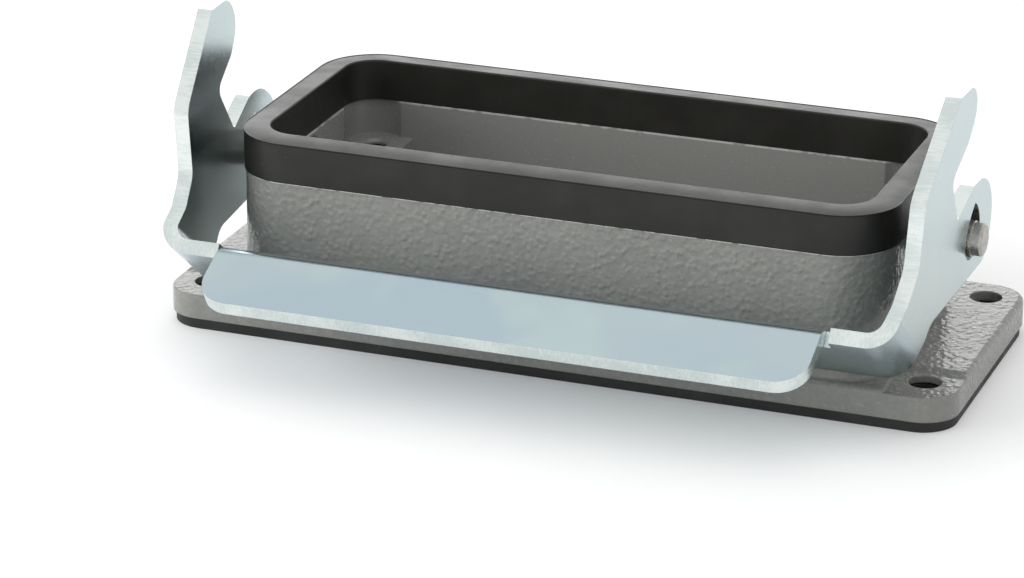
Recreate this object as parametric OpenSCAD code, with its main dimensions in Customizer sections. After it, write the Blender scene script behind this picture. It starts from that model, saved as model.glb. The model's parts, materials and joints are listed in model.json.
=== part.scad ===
// Bulkhead mounting housing of a heavy duty rectangular connector, size 16, with one locking lever.
// The insert drops into the collar, the hood is pushed over the seal, and the lever pulls it down.
// Frame: the panel's surface is z = 0, X runs along the collar, and the lever hangs open towards -Y.

/* [Flange] */
// Length of the flange
flange_length = 113; // [111:0.5:120]
// Width of the flange
flange_width = 43.5; // [42.5:0.5:50]
// Thickness of the flange
flange_thick = 3.9; // [3.6:0.1:6]
// Radius of the flange's corners
flange_corner = 5; // [2:0.5:5]
// Distance of the fixing holes along X
fixing_x = 103; // [102.5:0.5:104]
// Distance of the fixing holes along Y
fixing_y = 32; // [30:0.5:33]
// Diameter of the fixing holes
fixing_d = 4.5; // [4:0.1:4.8]

/* [Collar and seal] */
// Length of the collar over its outer walls
collar_length = 92.8; // [90:0.2:94]
// Width of the collar over its outer walls
collar_width = 41.6; // [40:0.2:42]
// Thickness of the collar's walls
wall = 3.75; // [3.4:0.05:4]
// Outer radius of the collar's corners
collar_corner = 8; // [7:0.5:9]
// Height of the shoulder that the seal sits on, above the panel side of the flange
shoulder_height = 21.4; // [20:0.1:24]
// Height of the seal above that shoulder
seal_height = 5.9; // [5:0.1:8]
// Radius of the seal's slightly crowned top
seal_crown = 16; // [14:1:40]
// Radius of the seal's inner upper edge
seal_edge = 0.25; // [0.15:0.05:0.5]

/* [Insert fixing] */
// Distance of the insert's screws along X
insert_x = 77.5; // [77:0.5:78]
// Distance of the insert's screws along Y
insert_y = 27; // [26:0.5:27]
// Height of the ledge under the insert, above the panel side of the flange
ledge_height = 16; // [12:0.5:18]

/* [Lever] */
// Thickness of the lever's sheet
sheet = 2.1; // [1.5:0.1:2.5]
// Inner radius of the bends between web and arms
bend_radius = 2.1; // [1.5:0.1:3]
// Inner radius of the fold along the handle
fold_radius = 1; // [0.5:0.1:1.5]
// Angle by which each arm leans outwards
splay = 4.4; // [0:0.1:6]
// Angle from the locked position down to the open one
open_swing = 52; // [45:1:52]
// Height of the pivot above the panel side of the flange
pivot_height = 18.3; // [18:0.1:19]
// Diameter of the pivot pins
pin_d = 5; // [4:0.1:5.2]
// Length of the handle
handle_length = 84.6; // [70:0.2:86]
// Depth of the handle's flat blade
handle_depth = 8.6; // [8:0.2:14]

/* [Gasket] */
// Thickness of the gasket below the flange
gasket_thick = 1.5; // [1:0.1:2.5]
// Height of the gasket's sleeves, inside the flange
sleeve_height = 2.3; // [1.5:0.1:2.4]

/* [Hidden] */
$fn = 64;

// Housing
flange_edge = 0.8;              // rounding of the flange's upper edge
pad_drop = 0.4;                 // how much lower the flange is around the two front fixing holes
pad_ramp = [-11.5, -13.5];      // Y where the ramp down to those pads starts and ends
draft = 0.15;                   // outward draft of the collar's walls, shoulder to foot
foot_fillet = 0.5;              // fillet between collar and flange
span_x = collar_length - 2 * collar_corner;     // between the centres of the collar's corners
span_y = collar_width - 2 * collar_corner;
inner_corner = collar_corner - wall;            // corner radius inside the collar
tongue = [collar_corner - 2.8, collar_corner - 1];  // the rim's tongue, inside and outside radius
tongue_height = 3.8;            // of the tongue above the shoulder
pad_radius = 4.4;               // of the insert's ledges and of the reliefs over them
screw_d = 3.3;                  // tapping drill of the insert's M4 screws
screw_depth = 11;
screw_mouth = 4.1;              // countersink of those holes
counterbore_d = 6.4;            // room for the gasket's sleeves
counterbore_depth = 2.5;

// Seal
seal_out = collar_corner + 0.25;    // outer and inner corner radius of the seal
seal_in = inner_corner + 0.28;
seal_bead = 0.1;                // radius of the bead that the mould leaves on its outer upper edge

// Pins
press = 0.01;                   // radial interference of a pin in its wall
pin_end = 54.85;                // X of a pin's end face
nose_length = 1.5;
nose_d = pin_d - 0.5;
nose_chamfer = 0.35;

// Lever: drawn with the pivot as origin, the web below it and level, and the handle in front
web_drop = 23.6;                // pivot to the web's outer face
web_rear = 10.4;                // pivot to the web's rear and front edges
web_front = 23.3;
arm_span = 102.6;               // over the arms' outer faces, where these would meet the web's
fold_start = 21.3;              // pivot to the line where the handle starts to fold
fold_turn = 63.5;               // angle of that fold
handle_corner = 4.4;            // radius of the handle's front corners
handle_shift = -0.4;            // the handle is not quite in the middle between the web's ends
relief = 0.55;                  // mean gap between the handle's ends and the web's
pin_clearance = 0.5;            // radial play of a pin in its hole
hole_rise = 5.3;                // from the pivot to the tip of the hole's pointed arch
hole_lean = 43;                 // lean of that tip, forwards from the web's normal
lobe_r = 8.2;                   // radius of the lobe around the pivot
lobe_arc = [152.5, 14];         // where the lobe's round starts and ends
lever_reach = 30;               // beyond every point of the lever, measured from the pivot
arc_step = 6;                   // degrees in a step of a rounded corner

// Gasket
gasket_margin = 0.3;            // of the flange beyond the gasket
window_x = 84.6;
window_y = 34.4;
window_corner = 6;
sleeve_d = 6.1;
sleeve_chamfer = 0.4;

// ---- Shared shapes

// Rectangle with round corners, centred
module round_rect(length, width, r) {
    square([length - 2 * r, width], center = true);
    square([length, width - 2 * r], center = true);
    for (x = [-1, 1], y = [-1, 1])
        translate([x * (length / 2 - r), y * (width / 2 - r)]) circle(r);
}

// Sweeps a section around a rectangle: x in the section is the distance from the corners' centres
module sweep_frame(length, width) {
    for (side = [0, 180]) {
        rotate(side) translate([length / 2, width / 2, 0]) {
            rotate_extrude(angle = 90) children();
            rotate([90, 0, 0]) linear_extrude(width) children();
        }
        rotate(side) translate([-length / 2, width / 2, 0]) {
            rotate(90) rotate_extrude(angle = 90) children();
            rotate([90, 0, 90]) linear_extrude(length) children();
        }
    }
}

// Places its children at the four corners of a hole pattern
module at_corners(x_distance, y_distance) {
    for (x = [-1, 1], y = [-1, 1])
        translate([x * x_distance / 2, y * y_distance / 2, 0]) children();
}

// Points of the arc that rounds corner v between its neighbours a and b
function unit(v) = v / norm(v);
function heading(v) = atan2(v.y, v.x);
function corner_arc(a, v, b, r) =
    let (u = unit(a - v), w = unit(b - v), half = acos(u * w) / 2,
        centre = v + unit(u + w) * r / sin(half),
        start = heading(v + u * r / tan(half) - centre),
        sweep = (180 - 2 * half) * sign(cross(v - a, b - v)),
        steps = ceil(abs(sweep) / arc_step))
    [for (i = [0 : steps]) centre + r * [cos(start + sweep * i / steps), sin(start + sweep * i / steps)]];

// Outline through [x, y, corner radius] points; a radius of 0 keeps the corner
function flat(p) = [p.x, p.y];
function rounded(points) = let (n = len(points))
    [for (i = [0 : n - 1])
        each points[i].z == 0 ? [flat(points[i])]
            : corner_arc(flat(points[(i + n - 1) % n]), flat(points[i]), flat(points[(i + 1) % n]),
                points[i].z)];

// ---- Housing: one die casting, drawn from the panel side of the flange up

// Flange with rounded upper edges
module flange_plate() {
    length = flange_length - 2 * flange_corner;
    width = flange_width - 2 * flange_corner;
    sweep_frame(length, width) difference() {
        square([flange_corner, flange_thick]);
        translate([flange_corner - flange_edge, flange_thick - flange_edge]) difference() {
            square(2 * flange_edge);
            circle(flange_edge);
        }
    }
    translate([-length / 2, -width / 2, 0]) cube([length, width, flange_thick]);
}

// Section of the collar's wall, with its foot fillet and the tongue that carries the seal
module wall_section() {
    foot = flange_thick + foot_fillet;
    difference() {
        polygon([
            [inner_corner, 0],
            [inner_corner, shoulder_height],
            [tongue[0], shoulder_height],
            [tongue[0], shoulder_height + tongue_height],
            [tongue[1], shoulder_height + tongue_height],
            [tongue[1], shoulder_height],
            [collar_corner, shoulder_height],
            [collar_corner + draft, foot],
            [collar_corner + draft + foot_fillet, foot],
            [collar_corner + draft + foot_fillet, flange_thick - foot_fillet],
            [collar_corner + draft, 0]]);
        translate([collar_corner + draft + foot_fillet, foot]) circle(foot_fillet);
    }
}

// Plan of an insert ledge: a round pad that runs out into the collar's corner
module ledge_plan() {
    circle(pad_radius);
    translate([0, -pad_radius]) square([pad_radius, 2 * pad_radius]);
    translate([-pad_radius, 0]) square([2 * pad_radius, pad_radius]);
}

// The four pillars under the insert's ledges, inside the collar
module insert_pillars() {
    overlap = 1;
    linear_extrude(ledge_height) intersection() {
        round_rect(collar_length - 2 * wall + overlap, collar_width - 2 * wall + overlap,
            inner_corner + overlap / 2);
        for (x = [0, 1], y = [0, 1])
            mirror([x, 0]) mirror([0, y]) translate([insert_x / 2, insert_y / 2]) ledge_plan();
    }
}

// Tapped hole of an insert screw with its countersink, and the round relief over its ledge
module insert_hole() {
    mouth = (screw_mouth - screw_d) / 2;
    translate([0, 0, ledge_height - screw_depth]) cylinder(d = screw_d, h = screw_depth + 1);
    translate([0, 0, ledge_height - mouth])
        cylinder(d1 = screw_d, d2 = screw_mouth + 2 * mouth, h = 2 * mouth);
    translate([0, 0, ledge_height]) cylinder(r = pad_radius, h = shoulder_height - ledge_height);
}

// Fixing hole through the flange, with the recess for the gasket's sleeve below
module fixing_hole() {
    translate([0, 0, -1]) cylinder(d = fixing_d, h = flange_thick + 2);
    translate([0, 0, -1]) cylinder(d = counterbore_d, h = counterbore_depth + 1);
}

// What is taken off the flange's ends in front, so that the front holes' pads lie lower
module pad_relief() {
    start = collar_length / 2 + draft + foot_fillet + 0.2;
    low = flange_thick - pad_drop;
    for (side = [0, 1]) mirror([side, 0, 0]) translate([start, 0, 0])
        rotate([90, 0, 90]) linear_extrude(flange_length) polygon([
            [pad_ramp[0], flange_thick],
            [pad_ramp[1], low],
            [-flange_width, low],
            [-flange_width, 2 * flange_thick],
            [pad_ramp[0], 2 * flange_thick]]);
}

module housing() {
    window = [collar_length - 2 * wall, collar_width - 2 * wall];
    color([0.45, 0.45, 0.44]) translate([0, 0, gasket_thick]) difference() {
        union() {
            difference() {
                flange_plate();
                translate([0, 0, -1]) linear_extrude(flange_thick + 2)
                    round_rect(window.x, window.y, inner_corner);
            }
            sweep_frame(span_x, span_y) wall_section();
            insert_pillars();
        }
        pad_relief();
        at_corners(fixing_x, fixing_y) fixing_hole();
        at_corners(insert_x, insert_y) insert_hole();
        translate([-collar_length, 0, pivot_height]) rotate([0, 90, 0])
            cylinder(r = pin_d / 2 - press, h = 2 * collar_length);
    }
}

// ---- Seal: a rubber channel over the tongue of the collar's rim

// Section of the seal: its top falls a little towards the outer edge, where the mould parted
module seal_section() {
    crest = seal_in + seal_edge;
    centre = seal_height - seal_crown;
    outer_height = centre + sqrt(seal_crown ^ 2 - (seal_out - crest) ^ 2);
    difference() {
        union() {
            intersection() {
                translate([seal_in, 0]) square([seal_out - seal_in, seal_height]);
                translate([crest, centre]) circle(seal_crown, $fn = 256);
            }
            translate([seal_out, outer_height]) circle(seal_bead);
        }
        translate([seal_in - 1, seal_height - seal_edge]) difference() {
            square([seal_edge + 1, 1]);
            translate([seal_edge + 1, 0]) circle(seal_edge);
        }
        translate([tongue[0], -1]) square([tongue[1] - tongue[0], tongue_height + 1]);
    }
}

module collar_seal() {
    color([0.07, 0.07, 0.075]) translate([0, 0, gasket_thick + shoulder_height])
        sweep_frame(span_x, span_y) seal_section();
}

// ---- Flange gasket: a rubber sheet with a sleeve in each fixing hole

module sleeve_section() {
    top = gasket_thick + sleeve_height;
    polygon([
        [fixing_d / 2, 0],
        [sleeve_d / 2, 0],
        [sleeve_d / 2, top - sleeve_chamfer],
        [sleeve_d / 2 - sleeve_chamfer, top],
        [fixing_d / 2, top]]);
}

module flange_gasket() {
    length = flange_length - 2 * gasket_margin;
    width = flange_width - 2 * gasket_margin;
    color([0.1, 0.1, 0.1]) {
        linear_extrude(gasket_thick) difference() {
            round_rect(length, width, flange_corner);
            round_rect(window_x, window_y, window_corner);
            at_corners(fixing_x, fixing_y) circle(d = fixing_d);
        }
        at_corners(fixing_x, fixing_y) rotate_extrude() sleeve_section();
    }
}

// ---- Pivot pins: turned steel, pressed into the collar's end walls

// Section of a pin from its inner end, with the smaller nose at the outer end
module pin_section() {
    length = pin_end - collar_length / 2 + wall;
    polygon([
        [0, 0],
        [pin_d / 2, 0],
        [pin_d / 2, length - nose_length],
        [nose_d / 2, length - nose_length],
        [nose_d / 2, length - nose_chamfer],
        [nose_d / 2 - nose_chamfer, length],
        [0, length]]);
}

module pivot_pin() {
    color([0.6, 0.6, 0.58]) translate([collar_length / 2 - wall, 0, gasket_thick + pivot_height])
        rotate([0, 90, 0]) rotate_extrude() pin_section();
}

module right_pivot_pin() {
    pivot_pin();
}

module left_pivot_pin() {
    mirror([1, 0, 0]) pivot_pin();
}

// ---- Locking lever: one folded steel sheet, in the lever's own frame

// Side view of the web and an arm as [behind the pivot, up, corner radius]: the outline climbs the
// front edge to the finger's tip, drops into the notch that draws the hood's peg down, and comes
// back round the lobe and along the rear edge
function side_outline() = concat(
    [[-web_front, -lever_reach, 0],
        [-web_front, -19.8, 1],
        [-21.6, -16.8, 3],
        [-21.2, -11.9, 3],
        [-26.9, -4.5, 3.5],
        [-24.7, 10.9, 0.8],
        [-15.4, 18.2, 3.75],
        [-15.4, 8, 2.5],
        [-17.8, 1.75, 1.5],
        [-9.8, -0.9, 0.8]],
    [for (a = [lobe_arc[0] : -arc_step : lobe_arc[1]]) [lobe_r * cos(a), lobe_r * sin(a), 0]],
    [[8.46, -0.04, 2],
        [-8.9, -15.3, 4],
        [-8.9, -17.4, 2],
        [-web_rear, -19.8, 2],
        [-web_rear, -lever_reach, 0]]);

// Right half of the view along the web, as [out, up, corner radius]: half of the web, the bend, and
// the arm that leans outwards
function bent_half() =
    let (lean = tan(splay), skin = sheet / cos(splay), out = arm_span / 2,
        tip = out + lean * (web_drop + lever_reach))
    [[out, -web_drop, bend_radius + sheet],
        [tip, lever_reach, 0],
        [tip - skin, lever_reach, 0],
        [out + lean * sheet - skin, sheet - web_drop, bend_radius]];

module bent_section() {
    right = bent_half();
    left = [for (i = [len(right) - 1 : -1 : 0]) [-right[i].x, right[i].y, right[i].z]];
    polygon(rounded(concat(right, left)));
}

// Pin hole: round below, and drawn out into a pointed arch on the side where the lever is snapped on
module pin_hole_plan() {
    r = pin_d / 2 + pin_clearance;
    arch = (hole_rise * hole_rise + r * r) / (2 * r);
    circle(r);
    rotate(hole_lean) intersection() {
        translate([-r, 0]) square([2 * r, hole_rise]);
        translate([arch - r, 0]) circle(arch);
        translate([r - arch, 0]) circle(arch);
    }
}

// Web and arms: the bent sheet, cut to the side view, with the pin holes and the handle's gap
module web_and_arms() {
    gap = handle_length / 2 + relief;
    difference() {
        intersection() {
            rotate([90, 0, 0]) linear_extrude(4 * lever_reach, center = true) bent_section();
            rotate([90, 0, 90]) linear_extrude(2 * arm_span, center = true)
                polygon(rounded(side_outline()));
        }
        rotate([90, 0, 90]) linear_extrude(2 * arm_span, center = true) pin_hole_plan();
        translate([-gap, -lever_reach - fold_start, -lever_reach])
            cube([2 * gap, lever_reach, lever_reach - web_drop + 2 * sheet]);
    }
}

// Section of the handle as [in front of the pivot, up, corner radius], from the web's edge over the
// fold to past the blade's front edge
function handle_section() =
    let (ease = tan(fold_turn / 2), outer = fold_radius + sheet,
        along = [cos(fold_turn), -sin(fold_turn)], through = [sin(fold_turn), cos(fold_turn)],
        crest = [fold_start + outer * ease, sheet - web_drop],
        end = crest + along * (outer * ease + 2 * handle_depth), end_below = end - through * sheet)
    [[fold_start, -web_drop, 0],
        [fold_start, sheet - web_drop, 0],
        [crest.x, crest.y, outer],
        [end.x, end.y, 0],
        [end_below.x, end_below.y, 0],
        [fold_start + fold_radius * ease, -web_drop, fold_radius]];

// Plan of the handle with its rounded front corners; the blade starts at y = 0
module handle_plan() {
    half = handle_length / 2;
    translate([-half, handle_corner - handle_depth])
        square([handle_length, handle_depth + handle_corner]);
    translate([handle_corner - half, -handle_depth])
        square([handle_length - 2 * handle_corner, handle_depth]);
    for (x = [handle_corner - half, half - handle_corner])
        translate([x, handle_corner - handle_depth]) circle(handle_corner);
}

// Handle: folded out of the web and down, then cut to its plan
module handle() {
    intersection() {
        rotate([90, 0, 90]) linear_extrude(2 * handle_length, center = true)
            polygon([for (p = rounded(handle_section())) [-p.x, p.y]]);
        translate([0, -fold_start, -web_drop - fold_radius]) rotate([fold_turn, 0, 0])
            linear_extrude(4 * handle_depth, center = true)
                translate([handle_shift, 0]) handle_plan();
    }
}

module locking_lever() {
    color([0.78, 0.84, 0.85]) translate([0, 0, gasket_thick + pivot_height])
        rotate([open_swing - 90, 0, 0]) {
            web_and_arms();
            handle();
        }
}

housing();
collar_seal();
flange_gasket();
left_pivot_pin();
right_pivot_pin();
locking_lever();
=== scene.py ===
"""Dresses the bulkhead housing of a heavy duty rectangular connector, and lights it in a studio.

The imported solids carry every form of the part. Each sub-assembly here gives its own pieces a
procedural finish at its real scale, and the studio adds floor, lamps, world and camera.
All lengths are metres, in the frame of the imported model: the panel's surface is z = 0, X runs along
the collar, and the lever hangs open towards -Y.
"""

import json
import logging
import math
from dataclasses import dataclass
from enum import Enum

import bpy
from mathutils import Matrix, Vector


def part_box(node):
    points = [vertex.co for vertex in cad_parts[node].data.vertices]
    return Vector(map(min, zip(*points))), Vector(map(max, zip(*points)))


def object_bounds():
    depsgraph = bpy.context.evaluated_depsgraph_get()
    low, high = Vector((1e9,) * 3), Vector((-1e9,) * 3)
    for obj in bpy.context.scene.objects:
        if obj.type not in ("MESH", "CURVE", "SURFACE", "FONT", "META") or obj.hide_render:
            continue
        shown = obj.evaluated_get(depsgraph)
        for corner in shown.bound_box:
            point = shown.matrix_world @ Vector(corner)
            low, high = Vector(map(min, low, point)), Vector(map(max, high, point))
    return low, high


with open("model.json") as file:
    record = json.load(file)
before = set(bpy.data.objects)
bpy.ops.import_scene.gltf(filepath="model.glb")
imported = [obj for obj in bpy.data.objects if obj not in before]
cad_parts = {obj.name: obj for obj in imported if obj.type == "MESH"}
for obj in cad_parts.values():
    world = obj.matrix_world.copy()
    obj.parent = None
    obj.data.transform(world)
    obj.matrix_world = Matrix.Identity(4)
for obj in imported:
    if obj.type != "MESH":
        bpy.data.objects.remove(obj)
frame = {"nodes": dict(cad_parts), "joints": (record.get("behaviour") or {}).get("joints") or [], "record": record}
CAD_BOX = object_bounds()
MM = 0.001
POLYMER_IOR = 1.5

Socket = bpy.types.NodeSocket
Colour = tuple[float, float, float]
Point = tuple[float, float, float]

log = logging.getLogger("connector_housing")


class Slot(Enum):
    """The record's material slots, one for each finish; nothing in the script reads them."""

    HOUSING = "housing_paint"
    SEAL = "seal_rubber"
    GASKET = "gasket_rubber"
    PIN = "pin_steel"
    LEVER = "lever_zinc"


class Axis(Enum):
    """The axes of the part's frame, by their place in a point."""

    X = 0
    Y = 1
    Z = 2


class NodeSheet:
    """The nodes of one material, with short calls for what the finishes share."""

    def __init__(self, name: str) -> None:
        """Starts a material with a principled shader and nothing else.

        Args:
            name: The material's name.
        """
        self.material = bpy.data.materials.new(name)
        self.material.use_nodes = True
        self.tree = self.material.node_tree
        self.tree.nodes.clear()
        self.shader = self.add("ShaderNodeBsdfPrincipled")
        output = self.add("ShaderNodeOutputMaterial")
        self.tree.links.new(self.shader.outputs["BSDF"], output.inputs["Surface"])
        self.spot = self.add("ShaderNodeTexCoord")

    def add(self, kind: str, **settings: object) -> bpy.types.Node:
        """Adds one node.

        Args:
            kind: Blender's type name of the node.
            **settings: Properties to set on it.

        Returns:
            The new node.
        """
        node = self.tree.nodes.new(kind)
        for name, value in settings.items():
            setattr(node, name, value)
        return node

    def put(self, target: Socket, value: object) -> None:
        """Links a socket to an input, or sets a plain value on it.

        Args:
            target: The input.
            value: A socket, a number, or a row of numbers.
        """
        if isinstance(value, bpy.types.NodeSocket):
            self.tree.links.new(value, target)
        else:
            target.default_value = value

    def shade(self, **inputs: object) -> None:
        """Sets inputs of the shader, with an underscore for each space in their names.

        Args:
            **inputs: A socket or a plain value for each input.
        """
        for name, value in inputs.items():
            if isinstance(value, tuple) and len(value) == 3:
                value = (*value, 1.0)
            self.put(self.shader.inputs[name.replace("_", " ")], value)

    def place(self) -> Socket:
        """The point on the piece, in the part's frame at rest."""
        return self.spot.outputs["Object"]

    def facing(self) -> Socket:
        """The surface's direction, in the part's frame at rest."""
        return self.spot.outputs["Normal"]

    def part(self, vector: Socket, axis: Axis) -> Socket:
        """One coordinate of a vector.

        Args:
            vector: The vector.
            axis: Which coordinate.

        Returns:
            That coordinate.
        """
        split = self.add("ShaderNodeSeparateXYZ")
        self.put(split.inputs[0], vector)
        return split.outputs[axis.value]

    def calc(self, operation: str, *values: object) -> Socket:
        """One step of arithmetic.

        Args:
            operation: Blender's name of the operation.
            *values: Its operands, sockets or numbers.

        Returns:
            The result.
        """
        node = self.add("ShaderNodeMath", operation=operation)
        for target, value in zip(node.inputs, values):
            self.put(target, value)
        return node.outputs[0]

    def total(self, *values: object) -> Socket:
        """The sum of two or more values.

        Args:
            *values: Sockets or numbers.

        Returns:
            Their sum.
        """
        result = values[0]
        for value in values[1:]:
            result = self.calc("ADD", result, value)
        return result

    def rest(self, share: object) -> Socket:
        """What a share, a socket or a number, leaves of one."""
        return self.calc("SUBTRACT", 1.0, share)

    def product(self, *values: object) -> Socket:
        """The product of two or more values.

        Args:
            *values: Sockets or numbers.

        Returns:
            Their product.
        """
        result = values[0]
        for value in values[1:]:
            result = self.calc("MULTIPLY", result, value)
        return result

    def stretch(self, vector: Socket, scale: Point) -> Socket:
        """A vector multiplied axis by axis.

        Args:
            vector: The vector.
            scale: The three factors.

        Returns:
            The stretched vector.
        """
        node = self.add("ShaderNodeVectorMath", operation="MULTIPLY")
        self.put(node.inputs[0], vector)
        node.inputs[1].default_value = scale
        return node.outputs[0]

    def turn(self, vector: Socket, angle: float, centre: Point = (0, 0, 0),
             about: Axis = Axis.X) -> Socket:
        """A vector turned about one axis.

        Args:
            vector: The vector.
            angle: The angle in degrees.
            centre: A point on the axis.
            about: The axis.

        Returns:
            The turned vector.
        """
        node = self.add("ShaderNodeVectorRotate", rotation_type=f"{about.name}_AXIS")
        self.put(node.inputs["Vector"], vector)
        node.inputs["Center"].default_value = centre
        node.inputs["Angle"].default_value = math.radians(angle)
        return node.outputs[0]

    def noise(self, vector: Socket, size: float, detail: float = 2, rough: float = 0.5) -> Socket:
        """Cloudy noise.

        Args:
            vector: Where it is read.
            size: The size of its features.
            detail: How many finer layers it has.
            rough: The share of each finer layer.

        Returns:
            Its value, about 0.5 on average.
        """
        node = self.add("ShaderNodeTexNoise")
        self.put(node.inputs["Vector"], vector)
        node.inputs["Scale"].default_value = 1 / size
        node.inputs["Detail"].default_value = detail
        node.inputs["Roughness"].default_value = rough
        return node.outputs[0]

    def cells(self, vector: Socket, size: float, feature: str = "SMOOTH_F1") -> Socket:
        """Cell noise.

        Args:
            vector: Where it is read.
            size: The size of a cell.
            feature: Blender's name of what is measured.

        Returns:
            The distance to the nearest cell's middle.
        """
        node = self.add("ShaderNodeTexVoronoi", feature=feature)
        self.put(node.inputs["Vector"], vector)
        node.inputs["Scale"].default_value = 1 / size
        return node.outputs["Distance"]

    def ramp(self, value: object, start: float, end: float, low: float = 0, high: float = 1) -> Socket:
        """A smooth step.

        Args:
            value: The value that drives it.
            start: Where it starts; it may lie above the end.
            end: Where it ends.
            low: The result up to the start.
            high: The result from the end on.

        Returns:
            The result.
        """
        node = self.add("ShaderNodeMapRange", interpolation_type="SMOOTHSTEP")
        for target, number in zip(node.inputs, (value, start, end, low, high)):
            self.put(target, number)
        return node.outputs[0]

    def mix(self, share: object, first: object, second: object) -> Socket:
        """A mixture of two colours.

        Args:
            share: The second colour's share.
            first: A colour, or a socket.
            second: A colour, or a socket.

        Returns:
            The mixture.
        """
        node = self.add("ShaderNodeMix", data_type="RGBA")
        colours = [s for s in node.inputs if s.type == "RGBA"]
        self.put(node.inputs[0], share)
        for target, value in zip(colours, (first, second)):
            self.put(target, (*value, 1.0) if isinstance(value, tuple) else value)
        return next(s for s in node.outputs if s.type == "RGBA")

    def bump(self, height: Socket, depth: float, below: Socket | None = None) -> Socket:
        """Relief on the surface.

        Args:
            height: The relief, from 0 to 1.
            depth: How deep that range is.
            below: The relief that this one lies on.

        Returns:
            The direction of the surface with its relief.
        """
        node = self.add("ShaderNodeBump")
        node.inputs["Distance"].default_value = depth
        self.put(node.inputs["Height"], height)
        if below is not None:
            self.put(node.inputs["Normal"], below)
        return node.outputs[0]

    def soft_edges(self, radius: float) -> Socket:
        """The surface's direction with its sharp edges slightly broken.

        Args:
            radius: The radius of the broken edges.

        Returns:
            The softened direction.
        """
        node = self.add("ShaderNodeBevel", samples=6)
        node.inputs["Radius"].default_value = radius
        return node.outputs[0]


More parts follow.
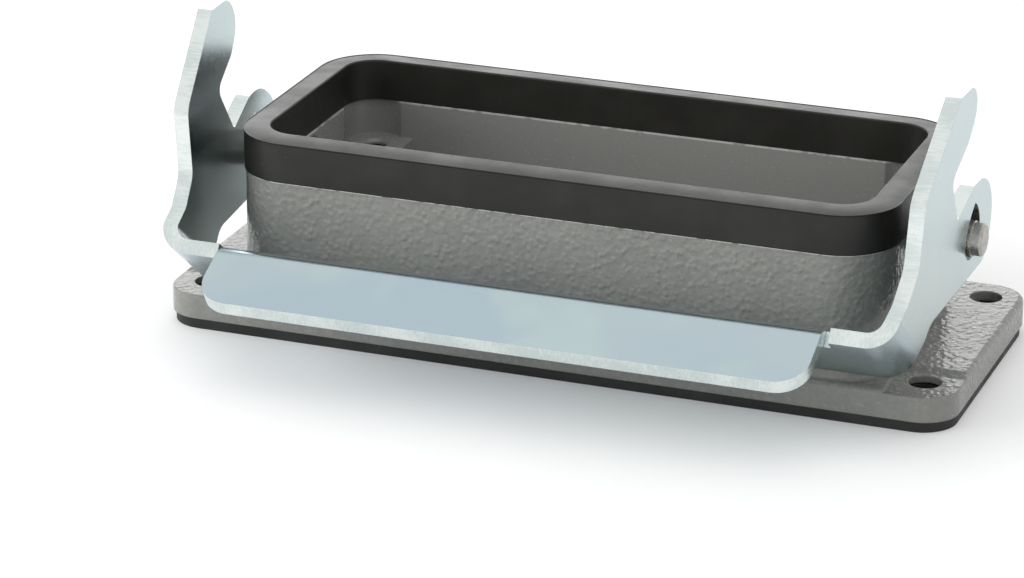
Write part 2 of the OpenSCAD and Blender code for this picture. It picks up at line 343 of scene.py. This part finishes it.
@dataclass(frozen=True)
class PowderCoat:
    """Textured powder coat on a die casting: flowed grains outside, thinner and smoother inside.

    Attributes:
        inside: Half the collar's inner length and width, and the height where its inside begins.
        holes: A screw hole's distances from the middle, and the height where its bare wall ends.
        hole_radius: How far from a hole's axis its bare wall lies, with a little play.
        seal_foot: The height of the seal's lower edge.
        skirt: The height where the flange's smoother front face ends.
        colour: The tops of the grains.
        valley: The darker coat between the grains: painted shade in the hollows.
        cloudy: Slightly paler clouds.
        inner: The coat on the inside, a little lighter: painted light on the shaded inner walls.
        bare: The bare metal in the screw holes, kept dark: partly its own colour, partly painted shade inside the
            holes.
        bright: A painted highlight: the thin bright line just below the seal, where the edge catches the light.
        fade: How softly the inside and the front face begin.
        smooth_inside: The share of the relief that is missing on the inside.
        smooth_front: The share of the relief that is missing on the front face.
        cloud: The size of the clouds.
        grain: The size of a grain.
        grain_depth: The height of a grain.
        fine_grain: The size of the finer relief.
        fine_depth: The height of the finer relief.
        edge: The radius of the coated edges.
        thread_pitch: The pitch of the threads in the screw holes.
        thread_depth: Their depth.
        line_low: How far below the seal the painted highlight line starts.
        line_full: How far below the seal it is full.
        line_top: How far above the seal's foot it stops, hidden by the seal.
        line_gap: The size of the breaks in it.
    """

    inside: Point
    holes: Point
    hole_radius: float
    seal_foot: float
    skirt: float
    colour: Colour = (0.220, 0.224, 0.208)
    valley: Colour = (0.196, 0.200, 0.186)
    cloudy: Colour = (0.240, 0.242, 0.226)
    inner: Colour = (0.228, 0.230, 0.218)
    bare: Colour = (0.24, 0.24, 0.23)
    bright: Colour = (0.80, 0.80, 0.78)
    fade: float = 1.0 * MM
    smooth_inside: float = 0.90
    smooth_front: float = 0.75
    cloud: float = 14 * MM
    grain: float = 0.82 * MM
    grain_depth: float = 0.12 * MM
    fine_grain: float = 0.45 * MM
    fine_depth: float = 0.010 * MM
    edge: float = 0.35 * MM
    thread_pitch: float = 0.7 * MM
    thread_depth: float = 0.10 * MM
    line_low: float = 0.28 * MM
    line_full: float = 0.14 * MM
    line_top: float = 0.05 * MM
    line_gap: float = 1.6 * MM

    def within(self, n: NodeSheet, x: Socket, y: Socket, z: Socket) -> Socket:
        """Where the coat lies on the collar's inside, walls and ledges.

        Args:
            n: The material's nodes.
            x: The distance from the middle along the collar.
            y: The distance from the middle across it.
            z: The distance from the panel's surface.

        Returns:
            A mask, 1 on the inside; it fades within the wall, behind its inner face.
        """
        sides = (n.ramp(off, face + 2 * self.fade, face + self.fade)
                 for off, face in ((x, self.inside[0]), (y, self.inside[1])))
        return n.product(*sides, n.ramp(z, self.inside[2] - self.fade, self.inside[2]))

    def screw_holes(self, n: NodeSheet, x: Socket, y: Socket, z: Socket) -> tuple[Socket, Socket]:
        """The bare holes for the insert's screws.

        Args:
            n: The material's nodes.
            x: The distance from the middle along the collar.
            y: The distance from the middle across it.
            z: The distance from the panel's surface.

        Returns:
            A mask, 1 in the holes, and the height of their threads.
        """
        off_x = n.calc("SUBTRACT", x, self.holes[0])
        off_y = n.calc("SUBTRACT", y, self.holes[1])
        reach = n.calc("SQRT", n.total(n.product(off_x, off_x), n.product(off_y, off_y)))
        hole = n.product(n.calc("LESS_THAN", reach, self.hole_radius),
                         n.calc("LESS_THAN", z, self.holes[2]))
        climb = n.product(z, 2 * math.pi / self.thread_pitch)
        return hole, n.product(n.calc("SINE", n.total(climb, n.calc("ARCTAN2", off_y, off_x))), hole)

    def painted_highlight_line(self, n: NodeSheet, z: Socket) -> Socket:
        """A painted highlight: the thin bright line just below the seal, where the edge catches the light, broken
        here and there.

        Args:
            n: The material's nodes.
            z: The distance from the panel's surface.

        Returns:
            A mask, 1 on the line.
        """
        return n.product(n.ramp(z, self.seal_foot - self.line_low, self.seal_foot - self.line_full),
                         n.calc("LESS_THAN", z, self.seal_foot + self.line_top),
                         n.ramp(n.noise(n.place(), self.line_gap, 2), 0.36, 0.50))

    def make(self) -> bpy.types.Material:
        """Builds the material.

        Returns:
            The finished material.
        """
        n = NodeSheet("powder_coat")
        at = n.place()
        x, y, z = (n.calc("ABSOLUTE", n.part(at, a)) for a in Axis)
        within = self.within(n, x, y, z)
        hole, thread = self.screw_holes(n, x, y, z)
        # The painted highlight line below the seal, weaker on the inside.
        line = n.product(self.painted_highlight_line(n, z), n.rest(n.product(within, 0.6)))
        front = n.product(n.ramp(n.part(n.facing(), Axis.Y), -0.6, -0.9),
                          n.ramp(z, self.skirt, self.skirt - self.fade))
        strength = n.product(n.rest(n.product(within, self.smooth_inside)),
                             n.rest(n.product(front, self.smooth_front)))

        lumps = n.ramp(n.noise(at, self.grain, 1, 0.4), 0.30, 0.70)
        beads = n.ramp(n.cells(at, self.grain), 0.62, 0.08)
        height = n.ramp(n.noise(at, 2.6 * self.grain, 1), 0.35, 0.60, 0.35, 1)
        relief = n.total(n.product(lumps, 0.30), n.product(beads, height, 0.70))
        fine = n.noise(at, self.fine_grain, 1, 0.5)

        # Painted shade: the coat is darker where the grains' relief is low, in the hollows between them.
        tone = n.mix(n.ramp(relief, 0.15, 0.55), self.valley, self.colour)
        tone = n.mix(n.ramp(n.noise(at, self.cloud, 2), 0.35, 0.70, 0, 0.40), tone, self.cloudy)
        # Painted light: the inside is a little lighter, to brighten the shaded inner walls.
        tone = n.mix(n.product(within, 0.85), tone, self.inner)
        # Painted highlight: the bright line just below the seal.
        tone = n.mix(n.product(line, 0.7), tone, self.bright)
        # The screw holes: bare metal, kept dark partly as painted shade inside them.
        tone = n.mix(hole, tone, self.bare)
        sheen = n.ramp(fine, 0.30, 0.75, 0.20, 0.28)

        normal = n.soft_edges(self.edge)
        normal = n.bump(n.product(relief, strength), self.grain_depth, normal)
        normal = n.bump(n.product(fine, strength), self.fine_depth, normal)
        normal = n.bump(thread, self.thread_depth, normal)
        n.shade(Base_Color=tone, Roughness=sheen, Normal=normal, Metallic=hole)
        n.shade(IOR=POLYMER_IOR)
        return n.material


@dataclass(frozen=True)
class MouldedRubber:
    """Moulded black rubber, satin on the seal and dull on the gasket.

    Attributes:
        name: The material's name.
        colour: The clean rubber.
        bloom: Its paler clouds.
        gloss: The roughness where it is wiped smooth.
        dull: The roughness elsewhere.
        dust: The colour of the specks.
        speck: The mean distance of the specks.
        cloud: The size of the clouds.
        smear: The size of the wiped patches.
        grain: The size of the mould's grain.
        depth: The height of the smears and of the grain.
        edge: The radius of the moulded edges.
        specular: How strongly it mirrors; less than clean plastic does.
    """

    name: str
    colour: Colour
    bloom: Colour
    gloss: float
    dull: float
    dust: Colour = (0.16, 0.16, 0.155)
    speck: float = 3.2 * MM
    cloud: float = 9 * MM
    smear: float = 3 * MM
    grain: float = 0.22 * MM
    depth: float = 0.015 * MM
    edge: float = 0.15 * MM
    specular: float = 0.38

    def make(self) -> bpy.types.Material:
        """Builds the material.

        Returns:
            The finished material.
        """
        n = NodeSheet(self.name)
        at = n.place()
        cloud = n.noise(at, self.cloud, 4, 0.6)
        smear = n.noise(n.stretch(at, (0.6, 0.8, 1)), self.smear, 3, 0.5)
        grain = n.noise(at, self.grain, 2, 0.6)
        specks = n.ramp(n.cells(at, self.speck, "F1"), 0.030, 0.018)
        tone = n.mix(n.ramp(cloud, 0.40, 0.72), self.colour, self.bloom)
        tone = n.mix(n.product(specks, 0.5), tone, self.dust)
        wiped = n.total(n.product(smear, 0.6), n.product(grain, 0.4))
        rough = n.ramp(wiped, 0.35, 0.65, self.gloss, self.dull)
        normal = n.bump(grain, self.depth, n.soft_edges(self.edge))
        normal = n.bump(smear, self.depth, normal)
        n.shade(Base_Color=tone, Roughness=rough, Normal=normal)
        n.shade(IOR=POLYMER_IOR, Specular_IOR_Level=self.specular)
        return n.material


@dataclass(frozen=True)
class ZincPlate:
    """Bright zinc plating on punched and bent sheet steel, with a faint passivated tint.

    Attributes:
        pivot: A point on the hinge's axis.
        lean: The lever's turn about the hinge at rest, in degrees.
        bend_top: The height over the pivot where the arms begin, in the level lever.
        fold_front: The distance before the pivot where the handle's blade begins.
        fold_turn: The handle's turn against the web, in degrees.
        blue: The plating's base colour.
        pale: Its paler, yellower tone: clouds on the web and the handle, and most of each arm.
        green: Its greenish patches.
        cut: The bright colour of the punched edges and of the scratches.
        cut_shade: The duller stretches of the punched edges.
        blend: Half the width over which the arms and the blade begin.
        blade_end: How far from the middle the handle counts as blade.
        blade_gap: How far from the middle the web beside the handle begins.
        blade_scratches: The slope and the mean distance of each family on web and handle.
        arm_scratches: The same for the family on the arms.
        tint: The size of the paler clouds.
        patch: The size of the greenish patches.
        wave: The size of the sheet's slow waves.
        wave_depth: Their height.
        wear: The size of the duller stretches.
        grain: The size of the plating's grain.
        grain_depth: Its height.
        streak: The distance of the shear lines on the punched edges.
        streak_depth: Their depth.
        edge: The radius of the sheet's edges.
    """

    pivot: Point
    lean: float
    bend_top: float
    fold_front: float
    fold_turn: float
    blue: Colour = (0.435, 0.535, 0.595)
    pale: Colour = (0.530, 0.612, 0.604)
    green: Colour = (0.510, 0.625, 0.610)
    cut: Colour = (0.750, 0.805, 0.780)
    cut_shade: Colour = (0.610, 0.680, 0.670)
    blend: float = 0.2 * MM
    blade_end: float = 42.6 * MM
    blade_gap: float = 42.9 * MM
    blade_scratches: tuple[tuple[float, float], ...] = ((3, 0.9 * MM), (-14, 1.4 * MM))
    arm_scratches: tuple[float, float] = (24, 2.6 * MM)
    tint: float = 24 * MM
    patch: float = 15 * MM
    wave: float = 7 * MM
    wave_depth: float = 0.010 * MM
    wear: float = 6 * MM
    grain: float = 0.6 * MM
    grain_depth: float = 0.0011 * MM
    streak: float = 0.28 * MM
    streak_depth: float = 0.014 * MM
    edge: float = 0.15 * MM

    def arms(self, n: NodeSheet) -> Socket:
        """Where the sheet is one of the arms, above the bends.

        Args:
            n: The material's nodes.

        Returns:
            A mask, 1 on the arms and 0 on the web and the handle.
        """
        at = n.turn(n.place(), self.lean, self.pivot)
        height = n.calc("SUBTRACT", n.part(at, Axis.Z), self.pivot[2])
        return n.ramp(height, self.bend_top - self.blend, self.bend_top + self.blend)

    def sheared(self, n: NodeSheet, on_arm: Socket) -> Socket:
        """Where the sheet's punched edges show, instead of its rolled faces.

        Args:
            n: The material's nodes.
            on_arm: The mask of the arms.

        Returns:
            A mask, 1 on the punched edges.
        """
        at = n.turn(n.place(), self.lean, self.pivot)
        side = n.calc("ABSOLUTE", n.part(at, Axis.X))
        front = n.calc("SUBTRACT", self.pivot[1], n.part(at, Axis.Y))
        on_blade = n.product(n.ramp(front, self.fold_front, self.fold_front + 2 * self.blend),
                             n.rest(n.ramp(side, self.blade_end, self.blade_gap)))
        facing = n.turn(n.facing(), self.lean)
        across = n.calc("ABSOLUTE", n.part(facing, Axis.X))
        along = n.calc("ABSOLUTE", n.part(facing, Axis.Y))
        blade = n.calc("ABSOLUTE", n.part(n.turn(facing, -self.fold_turn), Axis.Z))
        arm_edge = n.ramp(across, 0.6, 0.3)
        web_edge = n.ramp(along, 0.6, 0.9)
        blade_edge = n.ramp(blade, 0.75, 0.5)
        mask = n.total(n.product(on_arm, arm_edge), n.product(n.rest(on_arm), web_edge))
        return n.total(n.product(on_blade, blade_edge), n.product(n.rest(on_blade), mask))

    def scratches(self, n: NodeSheet, angle: float, size: float, across: Axis) -> Socket:
        """One family of fine handling scratches.

        Args:
            n: The material's nodes.
            angle: Their slope in the sheet, in degrees.
            size: Their mean distance across.
            across: The axis that the sheet faces: Z on the handle, X on the arms.

        Returns:
            A mask, 1 in a scratch; its cells are drawn out along it, and through the sheet.
        """
        sheet = n.turn(n.place(), self.lean, self.pivot)
        if across is Axis.Z:
            sheet = n.turn(sheet, -self.fold_turn, self.pivot)
        line = n.turn(sheet, angle, about=across)
        run = (0.02, 1, 0.05) if across is Axis.Z else (0.05, 1, 0.02)
        return n.ramp(n.cells(n.stretch(line, run), size, "F1"), 0.075, 0.030)

    def marks(self, n: NodeSheet, on_arm: Socket) -> Socket:
        """All handling scratches: two families on web and handle, one on the arms.

        Args:
            n: The material's nodes.
            on_arm: The mask of the arms.

        Returns:
            A mask, 1 in a scratch.
        """
        flat = n.calc("MAXIMUM", *(self.scratches(n, *family, Axis.Z) for family in self.blade_scratches))
        arm = self.scratches(n, *self.arm_scratches, Axis.X)
        return n.total(n.product(n.rest(on_arm), flat), n.product(on_arm, arm))

    def streaks(self, n: NodeSheet, on_arm: Socket) -> Socket:
        """The fine shear lines of the punched edges, across the thickness of the sheet.

        Args:
            n: The material's nodes.
            on_arm: The mask of the arms.

        Returns:
            The height of the lines.
        """
        on_side, on_front = (n.noise(n.stretch(n.place(), run), self.streak, 2)
                             for run in ((0.15, 1, 1), (1, 0.6, 0.15)))
        return n.total(n.product(on_side, on_arm), n.product(on_front, n.rest(on_arm)))

    def make(self) -> bpy.types.Material:
        """Builds the material.

        Returns:
            The finished material.
        """
        n = NodeSheet("zinc_plate")
        at = n.place()
        on_arm = self.arms(n)
        cut = self.sheared(n, on_arm)
        marks = self.marks(n, on_arm)
        streak = self.streaks(n, on_arm)
        tint = n.noise(n.stretch(at, (0.6, 1, 1)), self.tint, 2)
        grain = n.noise(at, self.grain, 2, 0.5)

        # The arms are paler throughout than the web and the handle.
        paler = n.calc("MAXIMUM", n.product(on_arm, n.ramp(tint, 0.40, 0.58, 0.6, 1)),
                       n.ramp(tint, 0.42, 0.62, 0, 0.4))
        tone = n.mix(paler, self.blue, self.pale)
        tone = n.mix(n.ramp(n.noise(at, self.patch, 2), 0.50, 0.66, 0, 0.6), tone, self.green)
        tone = n.mix(n.product(marks, 0.35), tone, self.cut)
        worn = n.total(n.product(streak, 0.35), n.product(n.noise(at, self.wear, 2), 0.65))
        tone = n.mix(cut, tone, n.mix(n.ramp(worn, 0.38, 0.62), self.cut_shade, self.cut))
        rough = n.total(n.ramp(grain, 0.3, 0.7, 0.20, 0.25), n.product(marks, 0.12),
                        n.product(cut, 0.03))

        normal = n.bump(n.noise(at, self.wave, 1), self.wave_depth, n.soft_edges(self.edge))
        normal = n.bump(grain, self.grain_depth, normal)
        normal = n.bump(n.product(streak, cut), self.streak_depth, normal)
        n.shade(Base_Color=tone, Roughness=rough, Normal=normal)
        n.shade(Metallic=1.0)
        return n.material


@dataclass(frozen=True)
class TurnedSteel:
    """Plain steel turned on a lathe, with fine rings about its own axis.

    Attributes:
        axis_y: The axis's place along Y.
        axis_z: The axis's place along Z.
        colour: The clean steel.
        stain: Its darker clouds.
        ring: The distance between two rings.
        ring_depth: The depth of a ring.
        wander: How far a ring strays.
        wander_run: The length over which it strays.
        cloud: The size of the clouds.
        cloud_depth: Their relief.
        polish: The size of the patches that mirror more.
        edge: The radius of the edges.
    """

    axis_y: float
    axis_z: float
    colour: Colour = (0.42, 0.41, 0.39)
    stain: Colour = (0.27, 0.26, 0.24)
    ring: float = 0.16 * MM
    ring_depth: float = 0.008 * MM
    wander: float = 0.1 * MM
    wander_run: float = 0.6 * MM
    cloud: float = 1.1 * MM
    cloud_depth: float = 0.02 * MM
    polish: float = 0.35 * MM
    edge: float = 0.12 * MM

    def make(self) -> bpy.types.Material:
        """Builds the material.

        Returns:
            The finished material.
        """
        n = NodeSheet("turned_steel")
        at = n.place()
        off_y = n.calc("SUBTRACT", n.part(at, Axis.Y), self.axis_y)
        off_z = n.calc("SUBTRACT", n.part(at, Axis.Z), self.axis_z)
        radius = n.calc("SQRT", n.total(n.calc("POWER", off_y, 2.0), n.calc("POWER", off_z, 2.0)))
        wander = n.product(n.noise(at, self.wander_run, 2), self.wander)
        run = n.total(radius, n.part(at, Axis.X), wander)
        rings = n.calc("SINE", n.product(run, 2 * math.pi / self.ring))
        cloud = n.noise(at, self.cloud, 4, 0.65)
        tone = n.mix(n.ramp(cloud, 0.42, 0.66), self.colour, self.stain)
        rough = n.ramp(n.noise(at, self.polish, 3), 0.3, 0.7, 0.24, 0.42)
        normal = n.bump(n.ramp(rings, -1, 1), self.ring_depth, n.soft_edges(self.edge))
        normal = n.bump(cloud, self.cloud_depth, normal)
        n.shade(Base_Color=tone, Roughness=rough, Normal=normal)
        n.shade(Metallic=1.0)
        return n.material


def dress(node: str, material: bpy.types.Material) -> None:
    """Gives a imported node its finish.

    Args:
        node: The node's name.
        material: The finish.
    """
    piece = frame["nodes"][node]
    if not piece.material_slots:
        piece.data.materials.append(material)
    for place in piece.material_slots:
        place.material = material
    low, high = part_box(node)
    size = " x ".join(f"{(high[i] - low[i]) / MM:.1f}" for i in range(3))
    log.info("%s: %s mm, %s", node, size, material.name)


def mount(name: str) -> dict:
    """The mount of that name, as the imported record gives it."""
    return next(m for m in frame["record"]["mounts"] if m["name"] == name)


@dataclass
class CastHousing:
    """The die casting with its flange, collar, ledges and rim.

    Attributes:
        wall: The thickness of the collar's wall.
        seal_overhang: How far the seal stands out over the wall.
        skirt: The height of the flange's front face.
        hole_play: Added to the radius of the screw holes, so that their walls are wholly inside.
        ledge_chamfer: The height of the chamfer around each screw hole.
    """

    wall: float = 3.75 * MM
    seal_overhang: float = 0.25 * MM
    skirt: float = 7.0 * MM
    hole_play: float = 0.1 * MM
    ledge_chamfer: float = 0.7 * MM

    def build(self) -> None:
        """Dresses the casting; its inside follows from the seal's box, its holes from the record."""
        low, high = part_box("collar_seal")
        inset = self.wall + self.seal_overhang
        inside = (high.x - inset, high.y - inset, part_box("flange_gasket")[1].z)
        screws = mount("insert_screw_holes")
        sizes = screws["dims"]
        holes = (sizes["spacing_x_mm"] / 2 * MM, sizes["spacing_y_mm"] / 2 * MM,
                 screws["pos_m"][2] - self.ledge_chamfer)
        radius = sizes["hole_r_mm"] * MM + self.hole_play
        dress("housing", PowderCoat(inside, holes, radius, low.z, self.skirt).make())


@dataclass
class RubberParts:
    """The seal on the collar's rim and the gasket under the flange.

    Attributes:
        seal_colour: The seal's clean rubber.
        seal_bloom: Its paler clouds.
        gasket_colour: The gasket's clean rubber.
        gasket_bloom: Its paler clouds.
    """

    seal_colour: Colour = (0.0125, 0.0120, 0.0100)
    seal_bloom: Colour = (0.0175, 0.0170, 0.0145)
    gasket_colour: Colour = (0.016, 0.016, 0.016)
    gasket_bloom: Colour = (0.026, 0.026, 0.026)

    def build(self) -> None:
        """Dresses both moulded parts."""
        seal = MouldedRubber("satin_rubber", self.seal_colour, self.seal_bloom, gloss=0.34, dull=0.46)
        gasket = MouldedRubber("dull_rubber", self.gasket_colour, self.gasket_bloom, gloss=0.5,
                               dull=0.66)
        dress("collar_seal", seal.make())
        dress("flange_gasket", gasket.make())


@dataclass
class PivotPins:
    """The two turned pins that the lever swings on.

    Attributes:
        nodes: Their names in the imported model.
    """

    nodes: tuple[str, str] = ("left_pivot_pin", "right_pivot_pin")

    def build(self) -> None:
        """Dresses both pins with rings about the hinge's axis."""
        _, y, z = frame["joints"][0]["pos_m"]
        steel = TurnedSteel(y, z).make()
        for node in self.nodes:
            dress(node, steel)


@dataclass
class LockingLever:
    """The bent sheet steel lever: web, two cam arms and a folded handle.

    Attributes:
        lean: Its turn about the hinge at rest, in degrees.
        bend_top: The height over the pivot where the arms leave the bends, in the level lever.
        fold_front: The distance before the pivot where the handle's flat blade begins.
        fold_turn: The handle's turn against the web, in degrees.
    """

    lean: float = 38.0
    bend_top: float = -19.4 * MM
    fold_front: float = 22.0 * MM
    fold_turn: float = 63.5

    def build(self) -> None:
        """Dresses the lever."""
        pivot = tuple(frame["joints"][0]["pos_m"])
        plate = ZincPlate(pivot, self.lean, self.bend_top, self.fold_front, self.fold_turn)
        dress("locking_lever", plate.make())


@dataclass(frozen=True)
class Lamp:
    """A soft square lamp that looks at the part.

    Attributes:
        name: Its name.
        place: Where it hangs.
        size: The length of its side.
        power: Its power in watts.
        mirrored: Whether shiny faces mirror it.
    """

    name: str
    place: Point
    size: float
    power: float
    mirrored: bool = False

    def hang(self, target: Vector) -> None:
        """Places the lamp.

        Args:
            target: The point that it looks at.
        """
        data = bpy.data.lights.new(self.name, "AREA")
        data.shape = "SQUARE"
        data.size = self.size
        data.energy = self.power
        lamp = bpy.data.objects.new(self.name, data)
        lamp.location = self.place
        lamp.visible_glossy = self.mirrored
        lamp.rotation_euler = (target - Vector(self.place)).to_track_quat("-Z", "Y").to_euler()
        bpy.context.scene.collection.objects.link(lamp)
        log.info("%s: %.1f W, %.2f m", self.name, self.power, self.size)


def seen_rays(tree: bpy.types.NodeTree) -> Socket:
    """Where the eye sees straight, or by way of a mirror or of something clear.

    Args:
        tree: The nodes that the test joins.

    Returns:
        A mask, 1 for such a ray.
    """
    path = tree.nodes.new("ShaderNodeLightPath")
    seen = path.outputs["Is Camera Ray"]
    for ray in ("Is Glossy Ray", "Is Transmission Ray"):
        either = tree.nodes.new("ShaderNodeMath")
        either.operation = "MAXIMUM"
        tree.links.new(seen, either.inputs[0])
        tree.links.new(path.outputs[ray], either.inputs[1])
        seen = either.outputs[0]
    return seen


@dataclass
class Studio:
    """The pale floor, the white surroundings, the lamps and the camera.

    Attributes:
        floor_reach: How far the floor reaches from the middle.
        floor_colour: The colour of the paper.
        floor_fibre: The colour of its fibres.
        fibre: Their size.
        floor_gap: The floor's distance below the part.
        floor_glow: What the floor adds to its own light where it is seen.
        daylight: The strength of the light that the surroundings give.
        eye: The camera's place.
        right: The camera's direction to the right.
        up: The camera's direction upwards.
        back: The direction from the part to the camera.
        lens: Its focal length in millimetres.
        sensor: The width of its sensor in millimetres.
        nearest: Nothing nearer than this is drawn.
        lamps: The lamps.
    """

    floor_reach: float = 3.0
    floor_colour: Colour = (0.84, 0.84, 0.84)
    floor_fibre: Colour = (0.8274, 0.8274, 0.8274)
    fibre: float = 20 * MM
    floor_gap: float = 0.05 * MM
    floor_glow: float = 0.14
    daylight: float = 0.84
    eye: Point = (0.17660, -0.50511, 0.21172)
    right: Point = (0.93604, 0.35188, 0.00323)
    up: Point = (-0.12958, 0.33612, 0.93286)
    back: Point = (0.32717, -0.87362, 0.36022)
    lens: float = 144.94
    sensor: float = 36.0
    nearest: float = 10 * MM
    lamps: tuple[Lamp, ...] = (
        Lamp("left_lamp", (-0.95, -0.65, 0.40), 0.8, 11.0),
        Lamp("top_lamp", (0.10, -0.25, 1.10), 0.8, 1.0),
        Lamp("rear_lamp", (-0.42, 1.05, 0.45), 0.7, 2.5, mirrored=True),
    )

    def lay_floor(self) -> None:
        """Lays the floor just below the part, white to the camera but open to the part's shadow."""
        n = NodeSheet("floor_paper")
        fibres = n.ramp(n.noise(n.place(), self.fibre, 3), 0.3, 0.7)
        n.shade(Base_Color=n.mix(fibres, self.floor_colour, self.floor_fibre), Roughness=0.9)
        n.shade(Emission_Strength=n.product(seen_rays(n.tree), self.floor_glow))
        n.shade(Emission_Color=(1, 1, 1))
        level = CAD_BOX[0][2] - self.floor_gap
        corners = [(self.floor_reach * x, self.floor_reach * y, level)
                   for x, y in ((-1, -1), (1, -1), (1, 1), (-1, 1))]
        sheet = bpy.data.meshes.new("floor")
        sheet.from_pydata(corners, [], [(0, 1, 2, 3)])
        sheet.materials.append(n.material)
        floor = bpy.data.objects.new("floor", sheet)
        bpy.context.scene.collection.objects.link(floor)

    def light_world(self) -> None:
        """Makes the surroundings white where they are seen, and plain daylight elsewhere."""
        world = bpy.data.worlds.new("white_room")
        bpy.context.scene.world = world
        world.use_nodes = True
        tree = world.node_tree
        tree.nodes.clear()
        output = tree.nodes.new("ShaderNodeOutputWorld")
        mix = tree.nodes.new("ShaderNodeMixShader")
        tree.links.new(seen_rays(tree), mix.inputs[0])
        for target, strength in zip(mix.inputs[1:], (self.daylight, 1.0)):
            glow = tree.nodes.new("ShaderNodeBackground")
            glow.inputs["Color"].default_value = (1, 1, 1, 1)
            glow.inputs["Strength"].default_value = strength
            tree.links.new(glow.outputs[0], target)
        tree.links.new(mix.outputs[0], output.inputs["Surface"])

    def set_camera(self) -> None:
        """Sets the camera to the wanted view."""
        data = bpy.data.cameras.new("camera")
        data.lens = self.lens
        data.sensor_width = self.sensor
        data.sensor_fit = "HORIZONTAL"
        data.clip_start = self.nearest
        camera = bpy.data.objects.new("camera", data)
        axes = Matrix((self.right, self.up, self.back)).transposed().to_4x4()
        camera.matrix_world = Matrix.Translation(self.eye) @ axes
        bpy.context.scene.collection.objects.link(camera)
        bpy.context.scene.camera = camera

    def build(self) -> None:
        """Builds the whole studio."""
        self.lay_floor()
        self.light_world()
        self.set_camera()
        middle = (Vector(CAD_BOX[0]) + Vector(CAD_BOX[1])) / 2
        for lamp in self.lamps:
            lamp.hang(middle)
        bpy.context.scene.view_settings.view_transform = "Standard"


def main() -> None:
    """Builds the sub-assemblies in order, then the studio, and notes the sizes."""
    logging.basicConfig(level=logging.INFO, format="%(name)s: %(message)s")
    for assembly in (CastHousing(), RubberParts(), PivotPins(), LockingLever(), Studio()):
        assembly.build()


if __name__ == "__main__":
    main()
